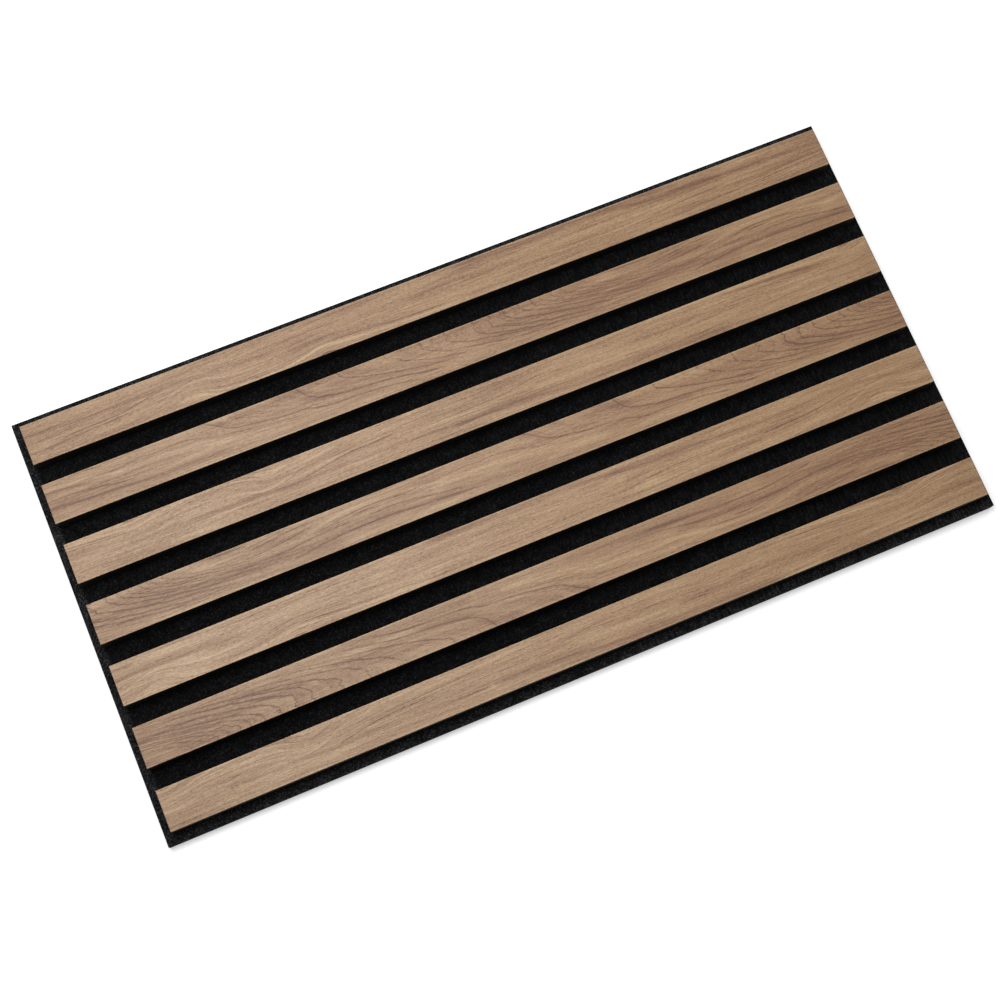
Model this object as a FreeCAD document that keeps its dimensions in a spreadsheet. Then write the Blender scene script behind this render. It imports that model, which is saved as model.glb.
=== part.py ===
import FreeCAD, Part

import os
import sys

import Sketcher

# Acoustic slat wall panel: wood-faced slats glued and stapled to a black felt board.
# It lies on its felt back. X runs along the slats, Y across them and Z out of the face.
# The origin is the middle of the felt's back, on the plane of the wall.
# All sizes are in millimetres and stand in the sheet named sizes.

DRIVING_SIZES = [
    ("slat_count", 7, "slats side by side"),
    ("slat_length", 546.0, "length of a slat"),
    ("slat_width", 26.0, "width of a slat"),
    ("slat_gap", 14.0, "open groove between two slats"),
    ("core_thick", 13.0, "black fibreboard core of a slat"),
    ("veneer_thick", 0.6, "wood veneer on the core's face"),
    ("veneer_arris", 0.3, "rounding of the veneer's upper edges"),
    ("felt_thick", 9.0, "felt board"),
    ("felt_side_margin", 7.0, "felt past the outer slats, half a groove"),
    ("felt_end_margin", 5.8, "felt past the slats' ends"),
    ("staple_rows", 4, "staples along each slat"),
    ("staple_inset", 45.0, "slat's end to its first staple"),
    ("crown_width", 12.8, "outer width of a staple, across the slat"),
    ("leg_length", 16.0, "outer height of a staple"),
    ("wire_wide", 1.2, "staple wire, along the slat"),
    ("wire_thick", 0.7, "staple wire, seen edge on"),
    ("crown_bend", 0.5, "outer bend between crown and leg"),
    ("crown_sink", 0.4, "depth that the crown is pressed into the felt"),
]

SLATS_WIDTH = "(sizes.slat_count * sizes.slat_width + (sizes.slat_count - 1) * sizes.slat_gap)"
FELT_WIDTH = f"({SLATS_WIDTH} + 2 * sizes.felt_side_margin)"
FELT_LENGTH = "(sizes.slat_length + 2 * sizes.felt_end_margin)"
PITCH = "(sizes.slat_width + sizes.slat_gap)"
FIRST_STAPLE_X = "(sizes.staple_inset - sizes.slat_length / 2)"
STAPLED_LENGTH = "(sizes.slat_length - 2 * sizes.staple_inset)"
LEG_OFFSET = "((sizes.crown_width - sizes.wire_thick) / 2)"
LEG_IN_CORE = "(sizes.crown_sink + sizes.leg_length - sizes.felt_thick)"


def make_sheet(doc):
    """The driving sizes, one row each: name, value, meaning."""
    sheet = doc.addObject("Spreadsheet::Sheet", "sizes")
    for row, (alias, value, meaning) in enumerate(DRIVING_SIZES, start=1):
        sheet.set(f"A{row}", alias)
        sheet.set(f"B{row}", str(value))
        sheet.set(f"C{row}", meaning)
        sheet.setAlias(f"B{row}", alias)
    doc.recompute()
    return sheet


def slat_offset(number):
    """Where the middle of a slat lies across the panel; slat 1 has the highest Y."""
    return f"(((sizes.slat_count + 1) / 2 - {number}) * {PITCH})"


def origin_feature(body, role):
    """The body's own origin plane or axis of that role."""
    for feature in body.Origin.OriginFeatures:
        if feature.Role == role:
            return feature
    raise ValueError(f"{body.Label} has no origin feature {role}")


def make_body(doc, label):
    body = doc.addObject("PartDesign::Body", label)
    body.Label = label
    return body


def add_rectangle(body, name, across, along, plane="XY_Plane", offset=None):
    """A sketch with one rectangle, centred on a plane's origin or moved from it by the offsets.

    across and along are expressions for the sides in the sketch's first and second direction.
    offset holds an expression for each of the sketch's directions that it is moved in.
    """
    sketch = body.newObject("Sketcher::SketchObject", name)
    sketch.AttachmentSupport = [(origin_feature(body, plane), "")]
    sketch.MapMode = "FlatFace"
    corners = [FreeCAD.Vector(x, y, 0) for x, y in ((-1, -1), (1, -1), (1, 1), (-1, 1))]
    for start, end in zip(corners, corners[1:] + corners[:1]):
        sketch.addGeometry(Part.LineSegment(start, end), False)
    for line in range(4):
        sketch.addConstraint(Sketcher.Constraint("Coincident", line, 2, (line + 1) % 4, 1))
    sketch.addConstraint(Sketcher.Constraint("Horizontal", 0))
    sketch.addConstraint(Sketcher.Constraint("Horizontal", 2))
    sketch.addConstraint(Sketcher.Constraint("Vertical", 1))
    sketch.addConstraint(Sketcher.Constraint("Vertical", 3))
    sketch.addConstraint(Sketcher.Constraint("Symmetric", 0, 1, 1, 2, -1, 1))
    for title, kind, line, expression in (
        ("across", "DistanceX", 0, across),
        ("along", "DistanceY", 1, along),
    ):
        index = sketch.addConstraint(Sketcher.Constraint(kind, line, 1, line, 2, 2.0))
        sketch.renameConstraint(index, title)
        sketch.setExpression(f"Constraints.{title}", expression)
    for direction, expression in (offset or {}).items():
        sketch.setExpression(f"AttachmentOffset.Base.{direction}", expression)
    return sketch


def add_pad(body, sketch, name, length, midplane=False):
    pad = body.newObject("PartDesign::Pad", name)
    pad.Profile = sketch
    pad.SideType = "Symmetric" if midplane else "One side"
    pad.setExpression("Length", length)
    return pad


def add_pocket(body, sketch, name, depth=None, midplane=False):
    """Cuts up from the sketch's plane into the body, to a depth or right through."""
    pocket = body.newObject("PartDesign::Pocket", name)
    pocket.Profile = sketch
    if midplane:
        pocket.SideType = "Symmetric"
    else:
        pocket.Reversed = True
    if depth is None:
        pocket.Type = "ThroughAll"
    else:
        pocket.setExpression("Length", depth)
    return pocket


def add_rows(body, cuts, name, across_slats):
    """Repeats features along the slat, and from slat to slat if across_slats is set."""
    pattern = body.newObject("PartDesign::LinearPattern", name)
    if cuts:
        pattern.Originals = cuts
    else:
        pattern.TransformMode = "Whole shape"
    pattern.Direction = (origin_feature(body, "X_Axis"), [""])
    pattern.Mode = "Extent"
    pattern.setExpression("Length", STAPLED_LENGTH)
    pattern.setExpression("Occurrences", "sizes.staple_rows")
    if across_slats:
        pattern.Direction2 = (origin_feature(body, "Y_Axis"), [""])
        pattern.Mode2 = "Extent"
        pattern.setExpression("Length2", f"(sizes.slat_count - 1) * {PITCH}")
        pattern.setExpression("Occurrences2", "sizes.slat_count")
    body.Tip = pattern
    return pattern


def add_leg_holes(body, depth, across_slats):
    """The two square holes of the first staple's legs."""
    holes = []
    last_slat = slat_offset("sizes.slat_count") if across_slats else "0"
    for name, side in (("left", "-"), ("right", "+")):
        place = {"x": FIRST_STAPLE_X, "y": f"{last_slat} {side} {LEG_OFFSET}"}
        sketch = add_rectangle(
            body, f"leg_{name}", "sizes.wire_wide", "sizes.wire_thick", offset=place
        )
        holes.append(add_pocket(body, sketch, f"leg_hole_{name}", depth))
    return holes


def make_felt(doc):
    """The felt board, with the dents and holes that the staples make from behind."""
    body = make_body(doc, "felt_backing")
    outline = add_rectangle(body, "felt_outline", FELT_LENGTH, FELT_WIDTH)
    add_pad(body, outline, "felt_board", "sizes.felt_thick")
    place = {"x": FIRST_STAPLE_X, "y": slat_offset("sizes.slat_count")}
    crown = add_rectangle(
        body, "crown_outline", "sizes.wire_wide", "sizes.crown_width", offset=place
    )
    dent = add_pocket(body, crown, "crown_dent", "sizes.crown_sink + sizes.wire_thick")
    holes = add_leg_holes(body, None, across_slats=True)
    doc.recompute()
    add_rows(body, [dent, *holes], "staple_dents", across_slats=True)
    return body


def make_core(doc, number):
    """The black fibreboard bar of a slat, with blind holes where the legs end."""
    body = make_body(doc, f"slat_core_{number}")
    outline = add_rectangle(body, "core_outline", "sizes.slat_length", "sizes.slat_width")
    add_pad(body, outline, "core_bar", "sizes.core_thick")
    holes = add_leg_holes(body, LEG_IN_CORE, across_slats=False)
    doc.recompute()
    add_rows(body, holes, "leg_holes", across_slats=False)
    body.setExpression("Placement.Base.y", slat_offset(number))
    body.setExpression("Placement.Base.z", "sizes.felt_thick")
    return body


def upper_face(shape, feature_name):
    """The name of the highest horizontal face."""
    heights = [face.CenterOfMass.z for face in shape.Faces]
    return feature_name, [f"Face{heights.index(max(heights)) + 1}"]


def make_veneer(doc, number):
    """The wood sheet on a slat's face, its upper edges lightly rounded."""
    body = make_body(doc, f"slat_veneer_{number}")
    outline = add_rectangle(body, "veneer_outline", "sizes.slat_length", "sizes.slat_width")
    sheet = add_pad(body, outline, "veneer_sheet", "sizes.veneer_thick")
    doc.recompute()
    arris = body.newObject("PartDesign::Fillet", "arris")
    arris.Base = upper_face(sheet.Shape, sheet)
    arris.setExpression("Radius", "sizes.veneer_arris")
    body.Tip = arris
    body.setExpression("Placement.Base.y", slat_offset(number))
    body.setExpression("Placement.Base.z", "sizes.felt_thick + sizes.core_thick")
    return body


def outer_bends(shape, feature):
    """The two lower edges that run along the slat at the crown's ends."""
    box = shape.BoundBox
    names = []
    for index, edge in enumerate(shape.Edges, start=1):
        middle = edge.CenterOfMass
        at_end = min(abs(middle.y - box.YMin), abs(middle.y - box.YMax)) < 1e-6
        if at_end and abs(middle.z - box.ZMin) < 1e-6:
            names.append(f"Edge{index}")
    return feature, names


def make_staples(doc):
    """The wire staples, crown down, driven from the back through the felt into the cores."""
    body = make_body(doc, "staples")
    body.AllowCompound = True
    middle_height = "(sizes.leg_length / 2)"
    # The YZ plane's sketch directions are Y and Z, and its normal is X.
    outer_place = {"x": slat_offset("sizes.slat_count"), "y": middle_height, "z": FIRST_STAPLE_X}
    outer = add_rectangle(
        body, "staple_outline", "sizes.crown_width", "sizes.leg_length", "YZ_Plane", outer_place
    )
    blank = add_pad(body, outer, "staple_blank", "sizes.wire_wide", midplane=True)
    inner_place = dict(outer_place)
    inner_place["y"] = f"{middle_height} + sizes.wire_thick"
    inner = add_rectangle(
        body,
        "between_legs",
        "sizes.crown_width - 2 * sizes.wire_thick",
        "sizes.leg_length",
        "YZ_Plane",
        inner_place,
    )
    gap = add_pocket(body, inner, "leg_gap", "2 * sizes.wire_wide", midplane=True)
    doc.recompute()
    if gap.Shape.Volume >= blank.Shape.Volume:
        sys.exit("the gap between the staple's legs cut nothing")
    bends = body.newObject("PartDesign::Fillet", "bends")
    bends.Base = outer_bends(gap.Shape, gap)
    bends.setExpression("Radius", "sizes.crown_bend")
    doc.recompute()
    add_rows(body, [], "staple_rows_all", across_slats=True)
    body.setExpression("Placement.Base.z", "sizes.crown_sink")
    return body


def check_document(doc, bodies):
    """Stops the build if any object failed or any piece is empty or broken."""
    for item in doc.Objects:
        if "Invalid" in item.State or "Error" in item.State:
            sys.exit(f"{item.Label} failed: {item.State}")
    for body in bodies:
        if body.Shape.isNull() or not body.Shape.isValid() or not body.Shape.Solids:
            sys.exit(f"{body.Label} has no valid solid")


def main():
    doc = FreeCAD.newDocument("slat_panel")
    sheet = make_sheet(doc)
    bodies = [make_felt(doc), make_staples(doc)]
    for number in range(1, int(sheet.slat_count) + 1):
        bodies.append(make_core(doc, number))
        bodies.append(make_veneer(doc, number))
    doc.recompute()
    check_document(doc, bodies)
    os.makedirs("parts", exist_ok=True)
    for body in bodies:
        body.Shape.exportStep(f"parts/{body.Label}.step")
        box = body.Shape.BoundBox
        print(
            f"{body.Label}: {len(body.Shape.Solids)} solids, {body.Shape.Volume:.1f} mm3,"
            f" {box.XLength:.2f} x {box.YLength:.2f} x {box.ZLength:.2f} from z {box.ZMin:.2f}"
        )


main()
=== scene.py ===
import math

import bmesh
import bpy
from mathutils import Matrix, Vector

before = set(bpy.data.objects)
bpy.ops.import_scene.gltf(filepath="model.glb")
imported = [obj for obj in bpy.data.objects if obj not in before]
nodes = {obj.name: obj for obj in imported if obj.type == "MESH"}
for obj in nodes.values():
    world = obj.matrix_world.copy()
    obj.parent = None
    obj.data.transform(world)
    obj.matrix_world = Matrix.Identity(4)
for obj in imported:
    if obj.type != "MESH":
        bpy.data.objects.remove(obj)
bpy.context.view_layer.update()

print("frame loaded:", len(nodes), "solids")


class Wire:  # one output socket, so that node maths reads as plain arithmetic
    def __init__(self, recipe, socket):
        self.recipe = recipe
        self.socket = socket

    def __add__(self, other):
        return self.recipe.math("ADD", self, other)

    def __radd__(self, other):
        return self.recipe.math("ADD", other, self)

    def __sub__(self, other):
        return self.recipe.math("SUBTRACT", self, other)

    def __rsub__(self, other):
        return self.recipe.math("SUBTRACT", other, self)

    def __mul__(self, other):
        return self.recipe.math("MULTIPLY", self, other)

    def __rmul__(self, other):
        return self.recipe.math("MULTIPLY", other, self)

    def __truediv__(self, other):
        return self.recipe.math("DIVIDE", self, other)

    def __rtruediv__(self, other):
        return self.recipe.math("DIVIDE", other, self)

    def __pow__(self, other):
        return self.recipe.math("POWER", self, other)

    def __neg__(self):
        return self.recipe.math("MULTIPLY", self, -1.0)

    def __abs__(self):
        return self.recipe.math("ABSOLUTE", self)


class Recipe:  # the nodes of one material, group or world
    def __init__(self, tree):
        self.tree = tree
        tree.nodes.clear()

    def add(self, kind, settings=None, sockets=None, out=0):
        node = self.tree.nodes.new(kind)
        for name, value in (settings or {}).items():
            if name == "points":
                curve = node.mapping.curves[0]
                curve.points[0].location = value[0]
                curve.points[1].location = value[-1]
                for place in value[1:-1]:
                    curve.points.new(*place)
                node.mapping.update()
            elif name == "stops":
                ramp = node.color_ramp
                while len(ramp.elements) < len(value):
                    ramp.elements.new(0.5)
                for element, (position, colour) in zip(ramp.elements, value):
                    element.position = position
                    element.color = colour
            else:
                setattr(node, name, value)
        for key, value in (sockets or {}).items():
            if isinstance(value, Wire):
                self.tree.links.new(value.socket, node.inputs[key])
            else:
                node.inputs[key].default_value = value
        return node if out is None else Wire(self, node.outputs[out])

    def math(self, operation, *values):
        return self.add("ShaderNodeMath", {"operation": operation}, dict(enumerate(values)))

    def vector(self, x, y, z=0.0):
        return self.add("ShaderNodeCombineXYZ", {}, {0: x, 1: y, 2: z})

    def noise(self, place, scale=1.0, detail=2.0, roughness=0.5, flat=True):
        settings = {"noise_dimensions": "2D" if flat else "3D"}
        sockets = {"Vector": place, "Scale": scale, "Detail": detail, "Roughness": roughness}
        return self.add("ShaderNodeTexNoise", settings, sockets)

    def step(self, value, low, high):  # 0 below low, 1 above high, smooth between
        settings = {"interpolation_type": "SMOOTHSTEP"}
        return self.add("ShaderNodeMapRange", settings, {0: value, 1: low, 2: high, 3: 0.0, 4: 1.0})

    def bell(self, value, width):  # 1 at 0, falling off to both sides
        return self.math("EXPONENT", -((value / width) ** 2.0))

    def square(self, distance, slope):  # distance up to a sloping line, to distance square to it
        return distance / self.math("SQRT", slope * slope + 1.0)

    def clamp(self, value, low=0.0, high=1.0):
        return self.math("MINIMUM", self.math("MAXIMUM", value, low), high)

    def mix(self, factor, first, second, blend="MIX"):
        settings = {"data_type": "RGBA", "blend_type": blend}
        return self.add("ShaderNodeMix", settings, {0: factor, 6: first, 7: second}, out=2)

    def ramp(self, value, stops):
        return self.add("ShaderNodeValToRGB", {"stops": stops}, {0: value})

    def finish(self, colour, roughness, height, depth, constants):  # the depth is in metres
        bump = self.add("ShaderNodeBump", {}, {"Height": height, "Distance": depth, "Strength": 1.0})
        sockets = {"Base Color": colour, "Roughness": roughness, "Normal": bump}
        sockets.update(constants)
        shader = self.add("ShaderNodeBsdfPrincipled", {}, sockets)
        self.add("ShaderNodeOutputMaterial", {}, {"Surface": shader}, out=None)


def newMaterial(name):  # its recipe knows the place on the object, in mm
    material = bpy.data.materials.new(name)
    material.use_nodes = True
    recipe = Recipe(material.node_tree)
    place = recipe.add("ShaderNodeTexCoord", out="Object")
    parts = recipe.add("ShaderNodeSeparateXYZ", {}, {0: place}, out=None)
    recipe.x, recipe.y, recipe.z = (Wire(recipe, parts.outputs[i]) * 1000.0 for i in range(3))
    return material, recipe


def screenColour(red, green, blue):  # 0-255 as a screen shows it, to Blender's linear colour
    def linear(value):
        value /= 255.0
        return value / 12.92 if value <= 0.04045 else ((value + 0.055) / 1.055) ** 2.4
    return (linear(red), linear(green), linear(blue), 1.0)


def paint(objectName, material):
    slots = nodes[objectName].data.materials
    if len(slots) == 0:
        slots.append(material)
    for index in range(len(slots)):
        slots[index] = material


slatSizes = {"count": 7, "pitch": 40.0, "width": 26.0}  # mm
sheetSizes = {"width": 27.0, "length": 547.0}  # the wood sheet before it is trimmed, mm

# Two cuts of the same flitch, each repeating along its length. A slat has one of them,
# moved along by its shift, and turned end for end where turned is set.
slatCuts = {
    1: {"cut": "straight", "turned": False, "shift": 0.0, "rings": 0.34, "tone": 0.40, "texture": 1.0},
    2: {"cut": "crown", "turned": False, "shift": 0.0, "rings": 0.48, "tone": 0.39, "texture": 0.8},
    3: {"cut": "straight", "turned": True, "shift": 238.0, "rings": 0.34, "tone": 0.36, "texture": 1.0},
    4: {"cut": "crown", "turned": False, "shift": -182.5, "rings": 0.48, "tone": 0.37, "texture": 0.8},
    5: {"cut": "straight", "turned": False, "shift": 82.0, "rings": 0.34, "tone": 0.32, "texture": 1.0},
    6: {"cut": "crown", "turned": True, "shift": 393.0, "rings": 0.48, "tone": 0.39, "texture": 0.8},
    7: {"cut": "straight", "turned": True, "shift": 200.5, "rings": 0.34, "tone": 0.35, "texture": 1.0},
}

wood = {
    "repeat": 488.0,  # mm after which a cut starts again
    "pale": screenColour(191, 160, 122),
    "light": screenColour(171, 138, 103),
    "middle": screenColour(151, 117, 86),
    "dark": screenColour(124, 90, 65),
    "line": screenColour(94, 65, 48),
    "pink": screenColour(205, 165, 150),
    "russet": screenColour(140, 103, 78),
    "roughness": 0.42,
    "specular": 0.5,
    "poreDepth": 0.00004,
}

# How much each layer of the grain darkens the wood.
weights = {
    "broad": 0.70,
    "streaks": 0.94,
    "fibre": 0.58,
    "grit": 0.86,
    "speckle": 0.70,
    "threads": 0.20,
    "pores": 0.18,
    "bands": 0.44,
    "lines": 0.58,
    # painted highlight on the slats' long arrises; below 0, so it lightens the wood
    "paintedArrisHighlight": -0.20,
    "pink": 0.20,  # the last two are shares of a colour
    "russet": 0.40,
}

# The marks of both cuts, drawn one by one: how dark (below 0 is light), how wide, and a path of
# places along and across the sheet (mm).
straightMarks = [
    (0.85, 0.34, [(20, 17.5), (36, 16.2), (48, 16.0), (60, 15.3), (72, 13.6), (80, 12.2), (92, 10.4)]),
    (0.60, 0.30, [(-58, 22.4), (-30, 21.6), (-8, 20.6), (10, 20.0), (25, 19.3), (40, 18.6), (72, 16.8)]),
    (0.45, 0.32, [(71, 17.0), (80, 15.6), (90, 14.8), (98, 14.1)]),
    (0.40, 0.34, [(84, 25.4), (92, 23.0), (98, 21.0), (106, 19.8)]),
    (-0.45, 0.50, [(104, 19.6), (112, 20.6), (118, 22.5), (124, 24.0), (136, 24.8)]),
    (-0.40, 0.60, [(58, 22.6), (75, 21.4), (86, 19.0), (95, 15.7), (104, 13.3), (112, 12.6), (118, 13.6),
                   (124, 15.8), (136, 17.6), (152, 18.6)]),
    (0.30, 0.40, [(86, 17.6), (94, 14.4), (103, 12.2), (112, 11.6), (119, 12.6), (128, 15.4)]),
    (-0.45, 1.40, [(94, 23.6), (104, 22.4), (112, 23.2), (120, 25.0)]),
    (0.36, 1.20, [(-10, 8.3), (12, 8.8), (45, 9.6), (70, 9.7), (95, 9.6), (114, 11.0), (130, 11.0),
                  (165, 12.6)]),
    (0.45, 0.30, [(134, 23.8), (150, 23.3), (165, 22.6), (178, 21.2), (187, 19.8), (193, 19.3)]),
    (0.60, 0.30, [(194, 19.3), (205, 19.6), (215, 20.2), (230, 21.0), (245, 21.8), (262, 22.4),
                  (276, 22.7)]),
    (-0.50, 0.80, [(150, 26.2), (170, 25.0), (182, 23.0), (190, 21.2), (196, 20.8), (202, 21.9), (212, 22.7),
                   (232, 23.7), (255, 24.3), (285, 24.8)]),
    (1.00, 0.55, [(187, 27.6), (191, 26.4), (195, 25.8), (199, 26.4), (203, 27.6)]),
    (0.25, 0.35, [(132, 19.2), (150, 18.8), (165, 18.0), (178, 16.6)]),
    (0.25, 0.30, [(178, 3.6), (188, 3.0), (198, 3.2)]),
    (0.55, 1.90, [(284, 1.4), (300, 2.0), (320, 3.0), (343, 4.2), (358, 3.2), (378, 3.0), (400, 3.8),
                  (412, 5.2), (440, 6.8), (458, 7.3), (480, 8.1)]),
    (0.40, 0.40, [(404, 4.2), (418, 5.8), (432, 7.2), (446, 7.4)]),
    (0.45, 0.50, [(438, 5.8), (452, 6.9), (470, 7.2), (494, 8.5), (510, 8.6)]),
    (0.30, 0.30, [(345, 9.0), (352, 9.4), (362, 10.2)]),
    (-0.38, 1.80, [(350, 11.0), (375, 11.6), (400, 12.2), (424, 11.6)]),
    (0.40, 0.34, [(360, 15.9), (375, 16.4), (386, 16.6), (396, 16.9), (412, 17.9)]),
    (0.55, 0.36, [(402, 18.8), (420, 17.7), (432, 16.1), (440, 15.2), (456, 14.6), (478, 14.0)]),
    (-0.30, 0.80, [(268, 24.9), (300, 25.3), (342, 25.6)]),
]
crownMarks = [
    (0.30, 0.35, [(-4, 6.8), (18, 8.5), (30, 11.0), (42, 12.7)]),
    (0.60, 0.36, [(36, 12.1), (38, 12.3), (41, 12.9)]),
    (0.50, 0.36, [(16, 0.2), (27, 1.2), (38, 2.8), (46, 2.2), (54, 1.3)]),
    (0.45, 0.34, [(36, 7.9), (50, 7.2), (58, 6.6), (65, 6.0), (70, 6.9), (76, 6.4), (85, 6.1), (92, 6.4),
                  (98, 8.2), (112, 11.4), (125, 13.4), (136, 14.8), (150, 16.6), (168, 18.8)]),
    (0.25, 0.30, [(43, 11.4), (60, 12.4), (75, 12.9), (90, 12.6), (105, 12.8), (120, 14.2), (142, 17.0)]),
    (-0.35, 2.60, [(40, 9.0), (70, 9.6), (100, 12.8), (130, 18.0), (160, 21.0)]),
    (0.72, 0.45, [(103, 0.0), (107, 1.4), (111, 3.6), (115, 6.2), (119, 8.6), (124, 10.2), (130, 11.2),
                  (136, 12.0), (146, 13.4), (156, 14.2), (168, 15.0), (176, 17.0), (184, 18.4), (200, 18.5),
                  (216, 19.6), (232, 21.6), (245, 24.4)]),
    (0.78, 0.50, [(166, 0.0), (168, 2.6), (170, 5.2), (173, 8.2), (178, 10.6), (184, 12.0), (192, 13.6),
                  (202, 14.6), (215, 15.4), (228, 16.6), (240, 19.0), (252, 21.0), (264, 22.4)]),
    (0.40, 1.80, [(94, 0.4), (104, 1.6), (112, 3.4), (124, 8.2)]),
    (0.50, 2.40, [(146, 2.6), (158, 2.4), (168, 3.4), (180, 9.0)]),
    (0.30, 1.50, [(166, 7.4), (178, 11.6), (196, 14.8), (218, 16.6)]),
    (0.45, 0.36, [(280, 12.8), (285, 13.3), (292, 14.1)]),
    (0.55, 0.50, [(296, 7.6), (305, 10.0), (313, 12.5), (324, 14.6)]),
    (0.90, 0.36, [(341, 6.2), (344, 6.8), (348, 7.4)]),
    (0.45, 0.50, [(332, 13.6), (340, 15.0), (350, 16.8), (360, 17.4), (374, 17.6)]),
    (0.42, 0.70, [(312, 19.4), (333, 20.6), (345, 21.4), (360, 22.4), (380, 22.3), (402, 21.6)]),
    (0.60, 0.60, [(366, 0.2), (374, 0.7), (384, 1.4), (396, 2.0), (412, 2.3)]),
    (-0.35, 0.60, [(366, 4.4), (380, 5.7), (396, 5.9), (412, 5.0)]),
    (0.42, 0.30, [(404, 4.8), (420, 3.2), (430, 2.0), (442, 0.6)]),
    (0.50, 0.34, [(404, 7.0), (425, 5.0), (440, 3.6), (454, 2.4)]),
    (0.50, 0.40, [(400, 10.8), (425, 9.2), (440, 7.6), (452, 6.2)]),
    (0.80, 0.45, [(392, 16.0), (415, 15.2), (432, 14.8), (445, 13.5), (460, 12.7), (478, 12.3)]),
    (-0.45, 1.00, [(438, 11.2), (452, 8.6), (462, 6.4), (470, 5.3), (485, 5.2), (500, 5.6), (515, 7.0),
                   (530, 9.4), (542, 11.0)]),
    (0.62, 0.40, [(458, 10.0), (468, 8.6), (476, 7.3), (488, 6.9), (500, 7.5), (514, 8.8)]),
    (0.70, 0.40, [(475, 9.3), (484, 8.9), (492, 9.4)]),
    (0.72, 0.40, [(482, 13.4), (495, 12.5), (508, 12.9), (520, 14.5), (532, 16.4), (548, 17.4)]),
    (0.75, 0.55, [(428, 22.4), (440, 20.6), (450, 19.3), (465, 18.0), (480, 17.5), (500, 17.8), (513, 18.8),
                  (530, 19.5), (548, 20.5)]),
    (0.50, 1.70, [(484, 18.0), (500, 18.0), (513, 18.8), (530, 19.6), (548, 20.6), (578, 21.6),
                  (606, 22.3)]),
    (0.26, 4.00, [(118, 2.0), (140, 5.0), (168, 7.0), (205, 9.0), (240, 12.0), (275, 16.0)]),
    (0.30, 6.00, [(282, 13.0), (320, 14.0), (360, 13.0), (400, 15.0), (440, 20.0), (470, 24.0)]),
    (0.24, 4.00, [(250, 4.0), (280, 6.0), (312, 6.0), (345, 5.0), (378, 4.0)]),
    (0.30, 2.60, [(380, 3.0), (410, 5.0), (440, 8.0), (470, 13.0), (500, 14.5), (530, 14.0)]),
]

# The crown cut's narrow arches: place along the sheet's upper edge, how dark, how wide, how far
# they drop before they turn, and how fast they turn (mm).
crownArches = [
    (194, 0.85, 0.36, 0.0, 0.20), (226, 0.70, 0.34, 0.0, 0.15), (251, 0.75, 0.34, 5.0, 0.26),
    (267, 0.75, 0.36, 5.0, 0.28), (287, 0.95, 0.42, 7.0, 0.28), (297, 0.95, 0.42, 6.0, 0.28),
    (308, 0.90, 0.42, 4.0, 0.28), (318, 0.80, 0.40, 3.0, 0.30), (326, 0.75, 0.38, 2.0, 0.30),
    (333, 0.70, 0.36, 2.0, 0.30), (340, 0.65, 0.36, 1.0, 0.30), (347, 0.60, 0.36, 1.0, 0.30),
    (354, 0.55, 0.36, 0.5, 0.30), (362, 0.40, 0.36, 0.0, 0.30),
]


def near(recipe, along, place):  # distance along the cut, whichever repeat is nearest
    half = wood["repeat"] / 2
    return recipe.math("WRAP", along - place, half, -half)


def hump(recipe, along, place, before, after):  # bell with a different width on each side
    distance = near(recipe, along, place)
    width = recipe.math("LESS_THAN", distance, 0.0) * (before - after) + after
    return recipe.bell(distance, width)


markSizes = {
    "curveTop": 30.0,  # mm across the sheet at the top of a mark's curve
    "fade": 9.0,  # mm over which a mark's end fades out
    "steep": 0.3,  # a mark that starts steeper than this doesn't fade in
    "line": 0.9,  # mm; a dark mark that is narrower than this is a line
}


def drawMarks(recipe, along, across, marks):  # thin lines, and broad or light bands
    top = markSizes["curveTop"]
    lines = None
    bands = None
    for dark, wide, path in marks:
        start = path[0][0]
        span = path[-1][0] - start
        steep = path[1][1] - path[0][1] > markSizes["steep"] * (path[1][0] - start)
        progress = near(recipe, along, start + span / 2) / span + 0.5
        curve = {"points": [((x - start) / span, y / top) for x, y in path]}
        height = recipe.add("ShaderNodeFloatCurve", curve, {1: progress}) * top
        distance = across - height
        if steep:
            ahead = recipe.add("ShaderNodeFloatCurve", curve, {1: progress + 0.01}) * top
            distance = recipe.square(distance, (ahead - height) / (span * 0.01))
        soft = min(0.3, markSizes["fade"] / span)
        firstSoft = 0.01 if steep else soft
        window = recipe.step(progress, 0.0, firstSoft) - recipe.step(progress, 1.0 - soft, 1.0)
        mark = recipe.bell(distance, wide) * window * dark
        if dark > 0 and wide < markSizes["line"]:
            lines = mark if lines is None else recipe.math("MAXIMUM", lines, mark)
        else:
            bands = mark if bands is None else bands + mark
    return lines, bands


# How the rings run in the crown cut: they climb along the slat, fall back, and lie straight
# between the crowns, whose tops sink a little below the sheet's edge (mm).
crownShape = {
    "climbFrom": 100.0,
    "climb": 270.0,
    "fallAt": (398.0, 482.0),
    "fall": 33.0,
    "straightAt": (330.0, 385.0, 520.0, 600.0),  # starts, is full, starts to end, is gone
    "straight": 3.0,
    "sunkAt": (240.0, 280.0, 290.0, 345.0),
    "sunk": 6.0,
    "turn": 0.22,
}


def stretch(recipe, along, start, ends):  # 1 on a stretch of the slat, 0 off it
    into = recipe.step(along, ends[0] + start, ends[1] + start)
    outOf = recipe.step(along, ends[2] + start, ends[3] + start)
    return into - outOf


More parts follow.
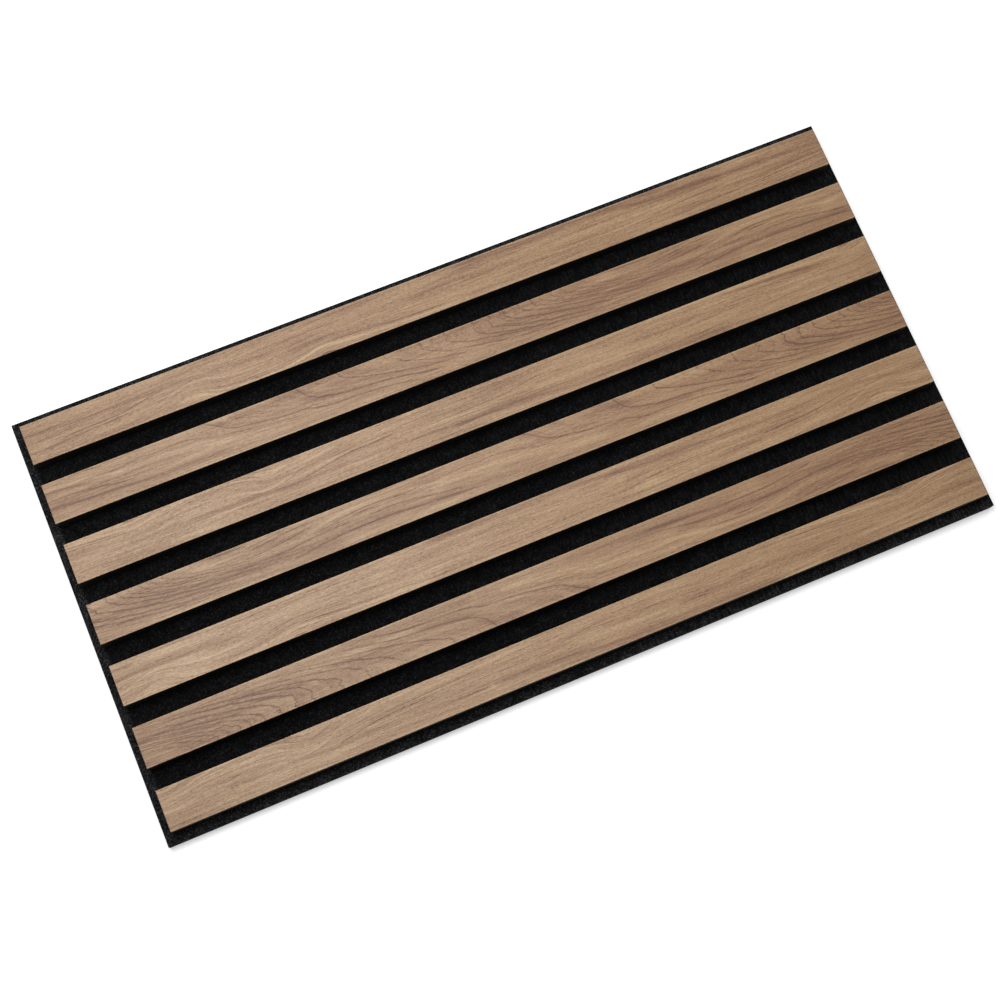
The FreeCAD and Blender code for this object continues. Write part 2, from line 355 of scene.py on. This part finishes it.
def crownField(recipe, along, across):  # nested arches that open along the slat
    shape = crownShape
    rise = shape["climbFrom"] - shape["climb"] + shape["fall"]
    straight = 0.0
    sunk = 0.0
    for repeat in (-1, 0, 1):
        start = wood["repeat"] * repeat
        climb = recipe.clamp(along - (shape["climbFrom"] + start), 0.0, shape["climb"])
        fallFrom, fallTo = shape["fallAt"]
        fall = recipe.step(along, fallFrom + start, fallTo + start) * shape["fall"]
        rise = climb - fall + rise
        straight = stretch(recipe, along, start, shape["straightAt"]) + straight
        sunk = stretch(recipe, along, start, shape["sunkAt"]) * shape["sunk"] + sunk
    below = recipe.math("MAXIMUM", across - sunk, 0.0)
    return rise - (below * below * shape["turn"] + across * straight * shape["straight"])


archSizes = {
    "jitter": 4.0,  # mm that the arches are ragged by near the sheet's edge
    "sway": 7.0,  # mm that they wander by everywhere
    "fade": (25.0, 130.0),  # mm along, over which an arch fades out
    "strength": 1.05,
}


def crownPattern(recipe, along, across, wander):
    jitter = recipe.noise(recipe.vector(along / 4.0, across / 2.2), detail=2.0) - 0.5
    edge = 1.0 - recipe.step(across, 3.0, 11.0)
    sway = recipe.noise(recipe.vector(along / 10.0, across / 3.6), detail=2.0) - 0.5
    jagged = along + jitter * edge * archSizes["jitter"] + sway * archSizes["sway"]
    wavy = across + wander * 0.7
    field = crownField(recipe, jagged, wavy) + wander * 2.5
    arches = None
    for place, dark, wide, drop, turn in crownArches:
        below = recipe.math("MAXIMUM", wavy - drop, 0.0)
        start = near(recipe, jagged, place)
        distance = recipe.square(start - below * below * turn, below * (turn * 2.0))
        fade = 1.0 - recipe.step(start, *archSizes["fade"])
        line = recipe.bell(distance, wide) * fade * (dark * archSizes["strength"])
        arches = line if arches is None else recipe.math("MAXIMUM", arches, line)
    lines, bands = drawMarks(recipe, along, across + wander * 0.5, crownMarks)
    lines = recipe.math("MAXIMUM", lines, arches)
    return field, across + wander * 0.5, lines, bands


# Where the straight cut's grain swells: place, width before and after it, height (mm).
lowSwells = [(105.0, 46.0, 15.0, 6.6), (196.0, 18.0, 46.0, 4.6)]
highSwell = (330.0, 90.0, 60.0, 2.0)


def straightPattern(recipe, along, across, wander):
    low = recipe.step(across, 4.0, 22.0)
    level = across + wander * 0.9
    for place, before, after, height in lowSwells:
        level = hump(recipe, along, place, before, after) * low * height + level
    place, before, after, height = highSwell
    level = hump(recipe, along, place, before, after) * (1.0 - low) * height + level
    lines, bands = drawMarks(recipe, along, across + wander * 0.35, straightMarks)
    return level * 4.0, level, lines, bands


def cutGroup(name, pattern):  # a cut's drawing, made once and used by all its slats
    tree = bpy.data.node_groups.new(name, "ShaderNodeTree")
    for title in ("along", "across", "wander"):
        tree.interface.new_socket(title, in_out="INPUT", socket_type="NodeSocketFloat")
    for title in ("field", "level", "lines", "bands"):
        tree.interface.new_socket(title, in_out="OUTPUT", socket_type="NodeSocketFloat")
    recipe = Recipe(tree)
    entry = recipe.add("NodeGroupInput", out=None)
    drawing = pattern(recipe, *(Wire(recipe, entry.outputs[i]) for i in range(3)))
    recipe.add("NodeGroupOutput", {}, dict(enumerate(drawing)), out=None)
    return tree


cutGroups = {
    "straight": cutGroup("straightCut", straightPattern),
    "crown": cutGroup("crownCut", crownPattern),
}
print("grain drawn")


def woodFace(number):
    cut = slatCuts[number]
    material, recipe = newMaterial(f"walnutFace{number}")
    centre = ((slatSizes["count"] + 1) / 2 - number) * slatSizes["pitch"]
    way = -1.0 if cut["turned"] else 1.0
    along = (recipe.x + sheetSizes["length"] / 2) * way + cut["shift"]
    across = (recipe.y - centre) * -way + sheetSizes["width"] / 2
    seed = number * 37.0

    slow = recipe.noise(recipe.vector(along / 60.0 + seed, across / 9.0), detail=1.0) - 0.5
    quick = recipe.noise(recipe.vector(along / 14.0 + seed, across / 2.6), detail=2.0) - 0.5
    wander = slow * 1.6 + quick * 0.55

    sockets = {"along": along, "across": across, "wander": wander}
    drawing = recipe.add("ShaderNodeGroup", {"node_tree": cutGroups[cut["cut"]]}, sockets, out=None)
    field, level, lines, bands = (Wire(recipe, socket) for socket in drawing.outputs)

    rings = recipe.noise(recipe.vector(field / 6.0, along / 90.0 + seed), detail=3.0, roughness=0.65)
    fineRings = recipe.noise(recipe.vector(field / 3.4, along / 60.0 + seed), detail=1.0)
    threads = abs(fineRings - 0.5)
    threads = 1.0 - recipe.step(threads, 0.0, 0.07)
    broad = recipe.noise(recipe.vector(along / 80.0 + seed, level / 5.0), detail=3.0)
    streaks = recipe.noise(recipe.vector(along / 34.0 + seed, level * 1.05), detail=4.0, roughness=0.72)
    fibre = recipe.noise(recipe.vector(along / 5.0 + seed, across * 2.6), detail=3.0, roughness=0.7)
    grit = recipe.noise(recipe.vector(along / 2.6 + seed, level * 1.5), detail=2.0, roughness=0.8)
    speckle = recipe.noise(recipe.vector(along * 1.1, across * 1.9 + seed), detail=2.0, roughness=0.8)
    pores = recipe.noise(recipe.vector(along / 2.6, across * 3.4 + seed), detail=1.0)
    pores = recipe.step(pores, 0.60, 0.78)
    breaks = recipe.noise(recipe.vector(along / 22.0 + seed, level / 1.6), detail=2.0)
    breaks = recipe.step(breaks, 0.30, 0.62)

    figure = (broad - 0.5) * weights["broad"] + (streaks - 0.5) * weights["streaks"]
    figure = (fibre - 0.5) * weights["fibre"] + (grit - 0.5) * weights["grit"] + figure
    figure = (speckle - 0.5) * weights["speckle"] + figure
    tone = (rings - 0.5) * cut["rings"] + figure * cut["texture"] + cut["tone"]
    tone = threads * breaks * weights["threads"] + pores * weights["pores"] + tone
    tone = bands * weights["bands"] + lines * (breaks * 0.3 + 0.7) * weights["lines"] + tone
    edge = slatSizes["width"] / 2
    paintedArrisHighlight = recipe.step(abs(recipe.y - centre), edge - 0.9, edge - 0.4)  # painted highlight: the eased arrises are drawn paler, as where they catch the light
    tone = recipe.clamp(paintedArrisHighlight * weights["paintedArrisHighlight"] + tone)
    colour = recipe.ramp(tone, [
        (0.0, wood["pale"]), (0.26, wood["light"]), (0.52, wood["middle"]),
        (0.78, wood["dark"]), (1.0, wood["line"]),
    ])
    blush = recipe.noise(recipe.vector(along / 70.0, level / 5.0 + seed), detail=2.0)
    blush = recipe.step(blush, 0.42, 0.72) * weights["pink"]
    colour = recipe.mix(blush, colour, wood["pink"], "MULTIPLY")
    colour = recipe.mix(recipe.clamp(bands) * weights["russet"], colour, wood["russet"])

    roughness = recipe.clamp(tone * 0.16 + wood["roughness"] + (fibre - 0.5) * 0.1)
    height = 1.0 - pores * 0.6 - lines * 0.3 - fibre * 0.4
    gloss = {"Specular IOR Level": wood["specular"]}
    recipe.finish(colour, roughness, height, wood["poreDepth"], gloss)
    return material


for slat in range(1, slatSizes["count"] + 1):
    paint(f"slat_veneer_{slat}", woodFace(slat))
print("wood faces done")


board = {
    "black": screenColour(7, 7, 7),
    "fleck": screenColour(44, 38, 34),
    "roughness": 0.58,
    "specular": 0.12,
    "grainDepth": 0.00006,
}


def blackBoard():
    material, recipe = newMaterial("blackFibreboard")
    place = recipe.vector(recipe.x, recipe.y, recipe.z)
    layered = recipe.vector(recipe.x * 0.7, recipe.y * 0.7, recipe.z * 3.0)
    layers = recipe.noise(layered, 1.0, 4.0, 0.6, flat=False)
    dust = recipe.noise(place, 2.2, 3.0, 0.75, flat=False)
    flecks = recipe.step(dust, 0.52, 0.74) * 0.5 + recipe.step(layers, 0.5, 0.8) * 0.3
    colour = recipe.mix(flecks, board["black"], board["fleck"])
    roughness = dust * 0.2 + board["roughness"]
    gloss = {"Specular IOR Level": board["specular"]}
    recipe.finish(colour, roughness, layers + dust * 0.6, board["grainDepth"], gloss)
    return material


boardMaterial = blackBoard()
for slat in range(1, slatSizes["count"] + 1):
    paint(f"slat_core_{slat}", boardMaterial)
print("slat bars done")


felt = {
    "shade": screenColour(6, 6, 7),
    "fibre": screenColour(46, 46, 48),
    "edgeShade": screenColour(14, 14, 15),
    "edgeFibre": screenColour(84, 84, 86),
    "slatsWide": 266.0,  # mm over the slats; at the sides and the left end the felt is lighter, and between the slats it is darker with painted shade of the grooves
    "slatsLong": 546.0,
    "thick": 9.0,
    "strandTurns": (8, 52, 97, 141),  # degrees
    "strandLength": 2.6,
    "combedFrom": -40.0,  # mm along the panel, over which the combed strokes come in
    "combedTo": 120.0,
    "combed": 0.70,
    "roughness": 0.97,
    "specular": 0.06,
    "depth": 0.00035,
}


def strands(recipe, first, second, angle, seed):  # short wavy strands in one direction
    turn = math.radians(angle)
    alongIt = first * math.cos(turn) + second * math.sin(turn)
    acrossIt = second * math.cos(turn) - first * math.sin(turn)
    bend = recipe.noise(recipe.vector(first / 4.0 + seed, second / 4.0), detail=1.0) * 3.0
    place = recipe.vector(alongIt / felt["strandLength"], (acrossIt + bend) * 2.4 + seed)
    return recipe.step(recipe.noise(place, detail=1.0), 0.57, 0.76)


def past(recipe, value, size):  # 1 beyond half of size, 0 inside it
    return recipe.step(value, size / 2 - 1.0, size / 2 + 1.0)


def feltBoard():
    material, recipe = newMaterial("blackFelt")
    # The two directions are mixed with height, so that the cut edges get strands too.
    first = recipe.x + recipe.z * 0.35
    second = recipe.y + recipe.z * 0.8
    web = None
    for seed, angle in enumerate(felt["strandTurns"]):
        layer = strands(recipe, first, second, angle, seed * 9.0)
        web = layer if web is None else recipe.math("MAXIMUM", web, layer)
    clumps = recipe.noise(recipe.vector(recipe.x, recipe.y, recipe.z), 0.16, 3.0, 0.6, flat=False)
    combed = recipe.noise(recipe.vector(recipe.x * 1.3, recipe.y * 0.10), detail=3.0, roughness=0.7)
    right = recipe.step(recipe.x, felt["combedFrom"], felt["combedTo"])
    upperFace = recipe.step(recipe.z, felt["thick"] - 1.0, felt["thick"] - 0.3)
    combed = recipe.step(combed, 0.50, 0.72) * right * upperFace
    tone = web * (0.45 + clumps * 0.6 - right * 0.15) + (clumps - 0.5) * 0.5
    tone = recipe.clamp(combed * felt["combed"] + tone)
    # painted shade: the felt between the slats gets the darker pair of colours, the open felt at the sides
    # and the left end the lighter pair
    grooveFeltPaintedShade = recipe.mix(tone, felt["shade"], felt["fibre"])
    openFeltLighter = recipe.mix(tone, felt["edgeShade"], felt["edgeFibre"])
    overSide = past(recipe, abs(recipe.y), felt["slatsWide"])
    overEnd = past(recipe, -recipe.x, felt["slatsLong"])
    colour = recipe.mix(recipe.math("MAXIMUM", overSide, overEnd), grooveFeltPaintedShade, openFeltLighter)
    gloss = {"Specular IOR Level": felt["specular"]}
    recipe.finish(colour, felt["roughness"], web + clumps, felt["depth"], gloss)
    return material


paint("felt_backing", feltBoard())
print("felt done")


staple = {
    "wire": screenColour(178, 177, 172),
    "dull": screenColour(128, 127, 123),
    "roughness": 0.25,
    "scratchDepth": 0.00003,
}


def stapleWire():
    material, recipe = newMaterial("stapleWire")
    place = recipe.vector(recipe.x * 6.0, recipe.y * 0.8, recipe.z * 2.0)
    drawn = recipe.noise(place, 1.0, 2.0, 0.6, flat=False)
    colour = recipe.mix(drawn, staple["wire"], staple["dull"])
    roughness = drawn * 0.25 + staple["roughness"]
    recipe.finish(colour, roughness, drawn, staple["scratchDepth"], {"Metallic": 1.0})
    return material


paint("staples", stapleWire())
print("staples done")


room = {
    "floor": screenColour(243, 243, 243),
    "floorSize": 14.0,  # m
    "floorGap": 0.0002,  # m under the panel
    "white": (1, 1, 1, 1),
    "glow": 0.50,  # how much of the floor's white the camera is given, shadows aside
    "plainFrom": 480.0,  # mm from the panel's middle where the floor starts to turn plain white
    "plainTo": 900.0,
    "sky": 0.13,
}

lamps = {
    "key": {"place": (1.5, 1.5, 1.2), "size": 0.6, "power": 8.5, "colour": (1.0, 0.94, 0.87)},
    "over": {"place": (-0.19, 0.17, 1.0), "size": 0.6, "power": 8.15, "colour": (0.98, 1.0, 1.0)},
}

cameraView = {
    "place": (-0.15957, -0.21025, 1.06240),
    "turn": (12.4783, -3.2978, -22.7118),  # degrees
    "lens": 61.816,
    "sensor": 36.0,
}


def backgroundRays(recipe):  # 1 for what the camera sees, also in a reflection or through glass
    path = recipe.add("ShaderNodeLightPath", out=None)
    seen = Wire(recipe, path.outputs["Is Camera Ray"])
    for name in ("Is Glossy Ray", "Is Transmission Ray"):
        seen = recipe.math("MAXIMUM", seen, Wire(recipe, path.outputs[name]))
    return seen


def makeFloor():
    shape = bmesh.new()
    bmesh.ops.create_grid(shape, x_segments=1, y_segments=1, size=room["floorSize"] / 2)
    bmesh.ops.translate(shape, verts=shape.verts, vec=(0, 0, -room["floorGap"]))
    mesh = bpy.data.meshes.new("floor")
    shape.to_mesh(mesh)
    shape.free()
    floor = bpy.data.objects.new("floor", mesh)
    bpy.context.scene.collection.objects.link(floor)
    material, recipe = newMaterial("paleFloor")
    matt = recipe.add("ShaderNodeBsdfDiffuse", {}, {"Color": room["floor"]})
    glow = recipe.add("ShaderNodeEmission", {}, {"Color": room["white"], "Strength": room["glow"]})
    both = recipe.add("ShaderNodeAddShader", {}, {0: matt, 1: glow})
    plain = recipe.add("ShaderNodeEmission", {}, {"Color": room["white"], "Strength": 1.0})
    away = recipe.math("SQRT", recipe.x * recipe.x + recipe.y * recipe.y)
    away = recipe.step(away, room["plainFrom"], room["plainTo"])
    pale = recipe.add("ShaderNodeMixShader", {}, {0: away, 1: both, 2: plain})
    shader = recipe.add("ShaderNodeMixShader", {}, {0: backgroundRays(recipe), 1: matt, 2: pale})
    recipe.add("ShaderNodeOutputMaterial", {}, {"Surface": shader}, out=None)
    mesh.materials.append(material)


def makeSky():
    world = bpy.data.worlds.new("studio")
    world.use_nodes = True
    bpy.context.scene.world = world
    recipe = Recipe(world.node_tree)
    strength = backgroundRays(recipe) * (1.0 - room["sky"]) + room["sky"]
    sockets = {"Color": room["white"], "Strength": strength}
    background = recipe.add("ShaderNodeBackground", {}, sockets)
    recipe.add("ShaderNodeOutputWorld", {}, {"Surface": background}, out=None)


def makeLamp(name, settings):
    light = bpy.data.lights.new(name, "AREA")
    light.shape = "DISK"
    light.size = settings["size"]
    light.energy = settings["power"]
    light.color = settings["colour"]
    lamp = bpy.data.objects.new(name, light)
    lamp.location = settings["place"]
    aim = Vector((0, 0, 0)) - lamp.location
    lamp.rotation_euler = aim.to_track_quat("-Z", "Y").to_euler()
    bpy.context.scene.collection.objects.link(lamp)


def makeCamera():
    data = bpy.data.cameras.new("camera")
    data.lens = cameraView["lens"]
    data.sensor_width = cameraView["sensor"]
    camera = bpy.data.objects.new("camera", data)
    camera.location = cameraView["place"]
    camera.rotation_euler = [math.radians(angle) for angle in cameraView["turn"]]
    bpy.context.scene.collection.objects.link(camera)
    bpy.context.scene.camera = camera


makeFloor()
makeSky()
for lampName, lampSettings in lamps.items():
    makeLamp(lampName, lampSettings)
makeCamera()
bpy.context.scene.view_settings.view_transform = "Standard"
print("studio done")
